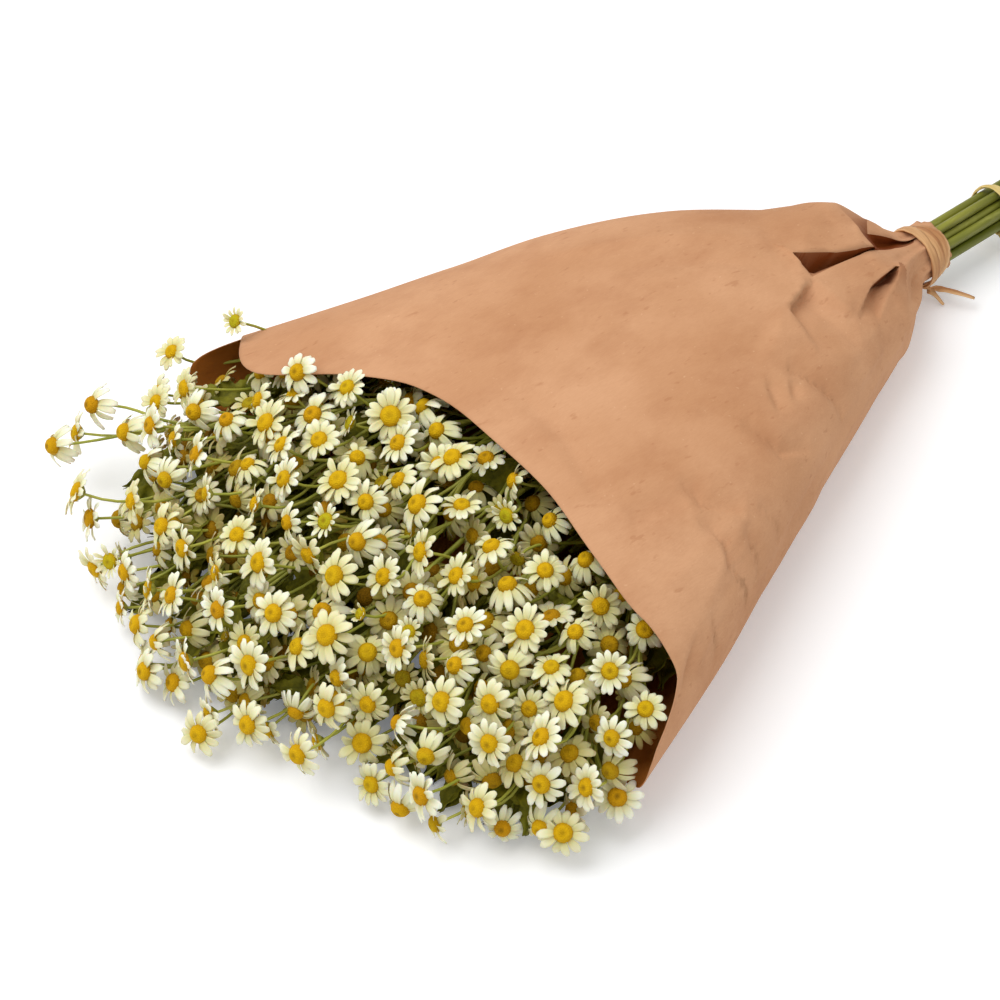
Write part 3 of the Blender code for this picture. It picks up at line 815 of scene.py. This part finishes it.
rng = random.Random(21)
open_heads = flower_patterns("open_head", 0.0082, (
    (13, 0.0040, 0.0012, 0.0016, 0.0034, 0.0009),
    (12, 0.0042, 0.0004, 0.0024, 0.0038, 0.0010),
    (14, 0.0037, 0.0016, 0.0010, 0.0032, 0.0008),
    (11, 0.0043, 0.0010, 0.0030, 0.0038, 0.0012),
))
old_heads = flower_patterns("old_head", 0.0078, (
    (12, 0.0039, -0.0012, 0.0048, 0.0044, 0.0012),
    (11, 0.0041, -0.0026, 0.0046, 0.0046, 0.0010),
))
young_heads = flower_patterns("young_head", 0.0062, (
    (13, 0.0028, 0.0020, 0.0004, 0.0026, 0.0004),
    (12, 0.0022, 0.0034, 0.0006, 0.0024, 0.0003),
))
bud = flower_pattern("bud", 0.0036, 10, 0.0019, 0.0048, 0.0012, 0.0034, 0.0002)


# --- The sprays ---
# Each of the thirteen stems runs straight through the ties, fans out inside the paper and
# branches into a spray of thin pedicels, one to a head. Together the heads make a low mound.

STEM_COUNT = 13
CAD_HEAD_COUNT = 39  # three to a stem
STEM_RADIUS = 0.0025
FORK_RADIUS = 0.0012  # of a stem where its branches leave it
FORK_STEP = 24  # steps along a stem from the neck to there
STEM_PITCH = 0.0053  # between the stems in the tied bundle
MOUND_HALF_WIDTH = 0.162
MOUND_ASIDE = 0.010  # how far its middle is from the middle of the bunch
MOUND_TOP = 0.084
MOUND_FOOT = 0.0135
SPRIG_X = -0.205  # past this, a loose sprig stands by itself on the far side
OLD_DROOP = 0.0068  # how far the rays hang below their roots, on old heads and on others
OPEN_DROOP = 0.0030
TABLE_GAP = 0.0008
MOUND_DEPTHS = (
    # place across the mound from the near (-1) to the far side (1), its reach past the rim
    (-1.07, 0.052), (-0.80, 0.094), (-0.40, 0.108), (-0.10, 0.140), (0.30, 0.140),
    (0.70, 0.119), (1.00, 0.062),
)


def mound_point(across, down):
    """A place on the mound of flowers and its outward direction, from far to near side and
    from under the rim of the paper (down below 0), over the top (0) to the table (1)."""
    depth = smooth_table(MOUND_DEPTHS, across)[0]
    top = MOUND_TOP * (1 - 0.32 * across * across)
    bend = max(0, down) * math.pi / 2
    x = MOUTH_X - 0.004 - depth * math.sin(bend) + max(0, -down) * 0.10
    z = MOUND_FOOT + (top - MOUND_FOOT) * math.cos(bend)
    aside = 0.45 * across + 0.18 + 0.24 * math.sin(bend) * (1 + across)
    outward = Vector((-math.sin(bend) - 0.65, aside, 0.9 * math.cos(bend) + 0.32))
    return Vector((x, MOUND_ASIDE + across * MOUND_HALF_WIDTH, z)), outward.normalized()


def bundle_places():
    """Across the bundle: one stem in the middle, six round it and six in their gaps."""
    places = [(0.0, 0.0)]
    for ring, offset in ((STEM_PITCH, 0.0), (STEM_PITCH * math.sqrt(3), math.pi / 6)):
        for corner in range(6):
            angle = offset + corner * math.pi / 3
            places.append((ring * math.cos(angle), ring * math.sin(angle)))
    return places


def node_middle(name):
    low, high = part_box(name)
    return (Vector(low) + Vector(high)) / 2


def nearest_facing(place):
    """The mound's outward direction nearest to a place."""
    across = min(1, max(-1, (place.y - MOUND_ASIDE) / MOUND_HALF_WIDTH))
    steps = [step / 20 for step in range(21)]
    best = min(steps, key=lambda down: (mound_point(across, down)[0] - place).length)
    return mound_point(across, best)[1]


class Head:
    """A head's place, the way it faces, its pattern and size, its stem, and its painted light."""

    def __init__(self, place, facing, kind, size, spray=None, painted_light=1.0):
        self.place = place
        self.facing = facing
        self.kind = kind
        self.size = size
        self.spray = spray
        self.painted_light = painted_light


def settle(place, facing, size, droop):
    """Lifts a head that would reach below the table, with its rays' droop below their roots."""
    lowest = size * (HEAD_RADIUS * math.sqrt(max(0.0, 1 - facing.z**2)) + droop * abs(facing.z))
    lowest += TABLE_GAP
    place.z = max(place.z, lowest)
    return place


paper_wall = BVHTree.FromPolygons([Vector(point) for point in paper_points], paper_faces)


def clear_of_paper(place, facing, size):
    """Whether the rays of a head stop short of the paper, all round and above."""
    side = facing.orthogonal().normalized()
    for step in range(10):
        ray = Matrix.Rotation(step * math.tau / 10, 3, facing) @ side
        if paper_wall.ray_cast(place, ray, size * HEAD_RADIUS * 1.08)[0]:
            return False
    return not paper_wall.ray_cast(place, facing, 0.006)[0]


def kept_clear(place):
    """Whether a place is at the paper's far corner or round the loose sprig, where few heads
    are."""
    if place.y > 0.108 and place.z > 0.052 and place.x > SPRIG_X:
        return True
    beyond_rim = place.x < SPRIG_X - (0.156 - place.y) * 0.8
    return beyond_rim and place.y > (0.108 if place.z > 0.034 else 0.118)


HEAD_NUDGES = {
    # heads of the loose sprig and of the far corner, moved a little to hang as they really do
    22: (-0.002, -0.002, -0.018), 24: (0.008, 0.0, -0.012), 37: (-0.019, -0.008, 0.0),
    38: (-0.006, 0.008, 0.0),
}
rng = random.Random(77)
heads = []
for number in range(CAD_HEAD_COUNT):
    place = node_middle(f"flower_head_{number + 1:02d}")
    place += Vector(HEAD_NUDGES.get(number + 1, (0, 0, 0)))
    tilt = Vector([rng.uniform(-0.25, 0.25) for _ in range(3)])
    facing = (nearest_facing(place) + tilt).normalized()
    size = rng.uniform(0.94, 1.12)
    while not clear_of_paper(place, facing, size) and place.z > 0.02:
        place = place - facing * 0.003
    heads.append(Head(place, facing, rng.choice(open_heads), size, number // 3))

layers = (
    # least and greatest depth below the mound's surface, least spacing, and number of heads
    (0.000, 0.006, 0.0174, 108), (0.008, 0.022, 0.0150, 105), (0.024, 0.045, 0.0145, 100),
)
for shallow, deep, spacing, wanted in layers:
    placed, tries = 0, 0
    while placed < wanted and tries < 6000:
        tries += 1
        across, down = rng.uniform(-1.07, 1.0), rng.uniform(-0.24, 1.0)
        if down < 0 and abs(across) > 0.86:
            continue
        place, facing = mound_point(across, down)
        depth = rng.uniform(shallow, deep)
        place = place - facing * depth
        age = rng.random()
        kind = rng.choice(young_heads if age < 0.16 else old_heads if age > 0.72 else open_heads)
        size = rng.uniform(0.82, 1.04) if kind not in young_heads else rng.uniform(0.74, 0.98)
        if age < 0.04:
            kind, size = bud, rng.uniform(0.5, 0.7)
        tilt = Vector([rng.uniform(-0.6, 0.6) for _ in range(3)])
        facing = (facing + tilt).normalized()
        place = settle(place, facing, size, OLD_DROOP if kind in old_heads else OPEN_DROOP)
        if kept_clear(place) or not clear_of_paper(place, facing, size):
            continue
        if all((place - other.place).length > spacing for other in heads):
            # painted light: full near the mound's surface, less the deeper a head lies
            lit = max(0, 1 - max(0, depth - 0.004) / 0.030)
            heads.append(Head(place, facing, kind, size, painted_light=lit))
            placed += 1

lone_heads = (
    # place, facing and size: the loose sprig and the far corner
    ((-0.237, 0.167, 0.045), (-0.86, 0.18, 0.43), 0.98),
    ((-0.264, 0.162, 0.038), (-0.90, 0.14, 0.36), 0.98),
    ((-0.235, 0.141, 0.045), (-0.84, 0.30, 0.40), 0.98),
    ((-0.165, 0.143, 0.075), (-0.75, 0.00, 0.66), 0.79),
    # the near side, and low at the front
    ((-0.209, -0.164, 0.020), (-0.40, -0.35, 0.75), 0.98),
    ((-0.179, -0.165, 0.021), (-0.30, -0.30, 0.80), 0.98),
    ((-0.300, -0.014, 0.015), (-0.75, -0.20, 0.45), 0.98),
    ((-0.300, 0.030, 0.018), (-0.80, 0.10, 0.40), 0.98),
    # proud of the top of the rim
    ((-0.169, 0.082, 0.089), (-0.70, -0.05, 0.70), 0.95),
    ((-0.158, 0.057, 0.091), (-0.50, 0.20, 0.85), 0.90),
    ((-0.153, 0.030, 0.090), (-0.45, -0.35, 0.85), 1.12),
    ((-0.146, -0.008, 0.088), (-0.35, 0.10, 0.90), 0.98),
)
for place, facing, size in lone_heads:
    kind = rng.choice(young_heads if size < 0.8 else old_heads if place[1] > 0.13 else open_heads)
    heads.append(Head(Vector(place), Vector(facing).normalized(), kind, size))

stem_green = Finish("stem green", 0.45)
ribs = stem_green.place.noise(300, 3, 0.5, (0.06, 1, 1)).span(0.32, 0.66)
glints = stem_green.place.noise(170, 3, 0.6, (0.3, 1, 1)).span(0.56, 0.74)
patches = stem_green.place.noise(24, 2).span(0.3, 0.7)
green = patches.mix(tint(98, 108, 20), tint(162, 160, 60))
green = (glints * 0.6).mix(green, tint(196, 198, 112))
stem_green.feed("Base Color", (ribs * 0.6).mix(green, tint(78, 80, 12)))
stem_green.bump(ribs, 0.0004, 0.5)

shoot_green = Finish("shoot green", 0.5)
patches = shoot_green.place.noise(60, 2).span(0.3, 0.7)
shoot_green.feed("Base Color", patches.mix(tint(140, 148, 38), tint(192, 192, 84)))


def bezier(start, start_pull, end_pull, end, share):
    """The point at a share of the way along a Bezier curve."""
    rest = 1 - share
    return (
        start * rest**3
        + start_pull * (3 * rest * rest * share)
        + end_pull * (3 * rest * share * share)
        + end * share**3
    )


def add_shoot(curve, points, radii, finish=1):
    """A round shoot along points, in a curve whose bevel is one millimetre in radius."""
    spline = curve.splines.new("POLY")
    spline.material_index = finish
    spline.points.add(len(points) - 1)
    for point, place, radius in zip(spline.points, points, radii):
        point.co = (*place, 1)
        point.radius = radius * 1000


def curved(start, leaving, end, arriving, steps, slack=0.36):
    """Points from start to end, which leave and arrive in the given directions."""
    length = (end - start).length * slack
    pulls = (start + leaving * length, end - arriving * length)
    return [bezier(start, *pulls, end, step / steps) for step in range(steps + 1)]


def tapered(thick, thin, steps):
    return [thick + (thin - thick) * step / steps for step in range(steps + 1)]


sprays = []
for number, (y, z) in enumerate(bundle_places()):
    own = [head for head in heads if head.spray == number]
    middle = sum((head.place for head in own), Vector()) / len(own)
    neck = Vector((NECK_X - 0.004, y, BUNDLE_HEIGHT + z))
    fork = middle.lerp(neck, 0.26)
    travel = (middle - fork).normalized()
    cut = Vector((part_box(f"stem_{number + 1:02d}")[1][0], y, BUNDLE_HEIGHT + z))
    sprays.append((cut, neck, fork, travel, middle))
for head in heads:
    if head.spray is None:
        head.spray = min(range(STEM_COUNT), key=lambda n: (sprays[n][4] - head.place).length)

for number, (cut, neck, fork, travel, middle) in enumerate(sprays):
    own = [head for head in heads if head.spray == number]
    curve = bpy.data.curves.new(f"spray_{number + 1:02d}_stems", "CURVE")
    curve.dimensions = "3D"
    curve.bevel_depth = 0.001
    curve.bevel_resolution = 2
    curve.use_fill_caps = True
    pull = (fork - neck).length
    pulls = (neck + Vector((-0.35 * pull, 0, 0)), fork - travel * pull * 0.3)
    axis = [bezier(neck, *pulls, fork, step / FORK_STEP) for step in range(FORK_STEP + 1)]
    run = [cut.lerp(neck, step / 6) for step in range(6)]
    curve.materials.append(stem_green.material)
    curve.materials.append(shoot_green.material)
    radii = [STEM_RADIUS] * 6 + tapered(STEM_RADIUS, FORK_RADIUS, FORK_STEP)
    add_shoot(curve, run + axis, radii, finish=0)
    waiting = sorted(own, key=lambda head: -(head.place - fork).length)
    while waiting:
        first = waiting.pop(0)
        waiting.sort(key=lambda head: (head.place - first.place).length)
        group = [first] + [h for h in waiting[:3] if (h.place - first.place).length < 0.042]
        waiting = [head for head in waiting if head not in group]
        waiting.sort(key=lambda head: -(head.place - fork).length)
        # up to four heads that are near each other share one branch
        centre = sum((head.place - head.facing * 0.012 for head in group), Vector()) / len(group)
        reach = (centre - fork).length
        step = FORK_STEP if reach > 0.06 else rng.choice((18, 20, 22))
        root = axis[step]
        leaving = (axis[step] - axis[step - 1]).normalized()
        joint = root.lerp(centre, 0.52)
        arriving = (centre - root).normalized()
        branch = curved(root, leaving, joint, arriving, 8)
        add_shoot(curve, branch, tapered(0.0013, 0.0009, 8))
        for head in group:
            foot = head.place - head.facing * (CUP_DEPTH * head.size)
            shoot = curved(joint, arriving, foot, head.facing, 9, rng.uniform(0.32, 0.55))
            add_shoot(curve, shoot, tapered(0.00090, 0.00065, 9))
    select_only([new_object(curve.name, curve)])
    bpy.ops.object.convert(target="MESH")
    stems = active()
    stems.data.shade_smooth()
    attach(stems, "root")
    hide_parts(f"stem_{number + 1:02d}")

    copies = []
    for head in own:
        copy = new_object("head", head.kind.data.copy())
        turn = Matrix.Rotation(rng.uniform(0, math.tau), 4, "Z")
        aim = head.facing.to_track_quat("Z", "Y").to_matrix().to_4x4()
        copy.data.transform(Matrix.Translation(head.place) @ aim @ turn @ Matrix.Scale(head.size, 4))
        stored = [0.0] * (4 * len(copy.data.vertices))
        copy.data.attributes["bloom"].data.foreach_get("color", stored)
        young = head.kind in young_heads or head.kind is bud
        age = rng.uniform(0.0, 0.35) if young else rng.uniform(0.6, 1.0)
        set_bloom(copy, stored[::4], age, rng.random(), head.painted_light)
        copies.append(copy)
    blooms = join(copies, f"spray_{number + 1:02d}_heads")
    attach(blooms, "root")
    cad_heads = [f"flower_head_{number * 3 + n:02d}" for n in (1, 2, 3)]
    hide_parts(*cad_heads)

for pattern in open_heads + old_heads + young_heads + [bud]:
    bpy.data.objects.remove(pattern)


# --- The leaves ---
# Lobed leaves grow on the stems inside the paper, between the heads and low under them. They
# are thin, soft and dull green.

LEAF_GROUPS = 5
LEAF_LENGTH = 0.044
STALK_WIDTH = 0.0009
LEAF_THICKNESS = 0.0003

leaf_green = Finish("leaf green", 0.6, Specular_IOR_Level=0.2)
veins = leaf_green.place.noise(160, 3, 0.6).span(0.35, 0.7)
leaf_green.feed("Base Color", veins.mix(tint(84, 86, 10), tint(140, 136, 32)))
leaf_green.bump(veins, 0.0006, 0.6)


def leaf_pattern(length):
    """A lobed leaf blade: a strip whose edge is drawn out into five pairs of lobes."""
    bpy.ops.object.select_all(action="DESELECT")
    bpy.ops.mesh.primitive_grid_add(x_subdivisions=16, y_subdivisions=4, size=1)
    blade = active()
    for corner in blade.data.vertices:
        share, across = corner.co.x + 0.5, corner.co.y * 2
        body = math.sin(min(1, share * 1.02 + 0.03) * math.pi) ** 0.7 * 0.22 * length
        lobe = 0.55 + 0.45 * abs(math.sin(share * math.pi * 4.5))
        stalk = STALK_WIDTH if share < 0.16 else 0
        width = stalk or max(STALK_WIDTH, body * lobe)
        sweep = 0.10 * length * abs(across) * (0 if stalk else 1)
        x = length * share + sweep
        z = 0.06 * length * abs(across) - 0.30 * length * share * share
        corner.co = Vector((x, width * across, z))
    thicken(blade, LEAF_THICKNESS)
    blade.data.materials.append(leaf_green.material)
    blade.data.shade_smooth()
    return blade


def grow_leaf(root, along, up, size):
    """A copy of the blade that starts at its root, runs along and has its upper side up."""
    leaf = new_object("leaf", blade.data.copy())
    side = up.cross(along).normalized()
    lift = along.cross(side).normalized()
    turn = Matrix((along, side, lift)).transposed().to_4x4()
    leaf.data.transform(Matrix.Translation(root) @ turn @ Matrix.Scale(size, 4))
    return leaf


def nearest_group(place):
    """The group of leaves at a place, by its CAD leaf's place across the bunch."""
    return min(range(LEAF_GROUPS), key=lambda n: abs(roots[n][0].y - place.y) + rng.uniform(0, 0.02))


blade = leaf_pattern(LEAF_LENGTH)
rng = random.Random(8)
roots = [(node_middle(f"leaf_{number + 1:02d}"), number) for number in range(LEAF_GROUPS)]
for number in range(190):
    across, down = rng.uniform(-0.98, 0.95), rng.uniform(-0.5, 0.92)
    place, facing = mound_point(across, down)
    place = place - facing * rng.uniform(0.018, 0.050) + Vector((rng.uniform(-0.01, 0.03), 0, 0))
    if number >= 110:
        place.z *= rng.uniform(0.2, 0.6)
    place.z = max(place.z, 0.010)
    roots.append((place, nearest_group(place)))
for _ in range(125):  # low ones, from under the rim almost to the mound's foot
    foot = mound_point(rng.uniform(-0.90, 0.90), 1)[0]
    reach = rng.uniform(0.05, 0.74)
    place = Vector((MOUTH_X + (foot.x - MOUTH_X) * reach, foot.y, rng.uniform(0.009, 0.020)))
    roots.append((place, nearest_group(place)))
grown = [[] for _ in range(LEAF_GROUPS)]
mouth = Vector((MOUTH_X - 0.02, MOUND_ASIDE, 0.03))
for place, owner in roots:
    along = Vector((-1, rng.uniform(-0.8, 0.8), rng.uniform(-0.5, 0.5))).normalized()
    up = Vector((rng.uniform(-0.6, 0.1), rng.uniform(-0.6, 0.6), 1)).normalized()
    size = min(rng.uniform(0.55, 1.1), (place.z + 0.012) / 0.028)
    inward = place - mouth
    if paper_wall.ray_cast(mouth, inward.normalized(), inward.length)[0]:
        continue  # outside the paper
    leaf = grow_leaf(place - along * 0.02, along, up, size)
    for corner in leaf.data.vertices:
        corner.co.z = max(corner.co.z, 0.0010)
        reach = corner.co - place
        if paper_wall.ray_cast(place, reach.normalized(), reach.length + 0.002)[0]:
            bpy.data.objects.remove(leaf)
            break
    else:
        grown[owner].append(leaf)
for number, group in enumerate(grown):
    leaves = join(group, f"leaves_{number + 1:02d}")
    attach(leaves, "root")
    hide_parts(f"leaf_{number + 1:02d}")
bpy.data.objects.remove(blade)


# --- The table, the light and the camera ---
# The bunch lies on a plain white table, under a broad soft light above its flowers and a
# weaker one from its near side.

bpy.ops.mesh.primitive_plane_add(size=12)
table = active()
table.name = "table_top"
table_white = Finish("table white", 0.9)
table_white.shader.inputs["Base Color"].default_value = tint(250, 251, 254)
seen = table_white.place.node("ShaderNodeLightPath")
table_white.shader.inputs["Emission Strength"].default_value = 0.16
table_white.feed("Emission Color", seen.mix((0, 0, 0, 1), (0.86, 0.91, 1, 1)))
table.data.materials.append(table_white.material)

world = bpy.data.worlds.new("studio")
bpy.context.scene.world = world
world.use_nodes = True
sky = world.node_tree.nodes["Background"].inputs
sky["Color"].default_value = (1, 0.975, 0.91, 1)
sky["Strength"].default_value = 0.58

lamps = (
    # name, place, size across and power
    ("key", (-0.40, 0.44, 1.35), 1.5, 15),
    ("fill", (0.2, -1.3, 1.4), 1.6, 4),
)
for name, place, size, power in lamps:
    lamp = bpy.data.lights.new(name, "AREA")
    lamp.shape = "DISK"
    lamp.size = size
    lamp.energy = power
    holder = new_object(name, lamp)
    holder.location = place
    holder.rotation_euler = (-Vector(place)).to_track_quat("-Z", "Y").to_euler()

camera = bpy.data.cameras.new("camera")
camera.lens = 95.3
camera.sensor_width = 36
viewer = new_object("camera", camera)
viewer.location = (-0.6223, -0.6884, 0.9714)
aim = (Vector((-0.1142, 0.0, 0.03)) - viewer.location).to_track_quat("-Z", "Y").to_matrix()
roll = Matrix.Rotation(math.radians(-2.5), 3, "Z")
viewer.rotation_euler = (aim @ roll).to_euler()
bpy.context.scene.camera = viewer
bpy.context.scene.view_settings.view_transform = "Standard"
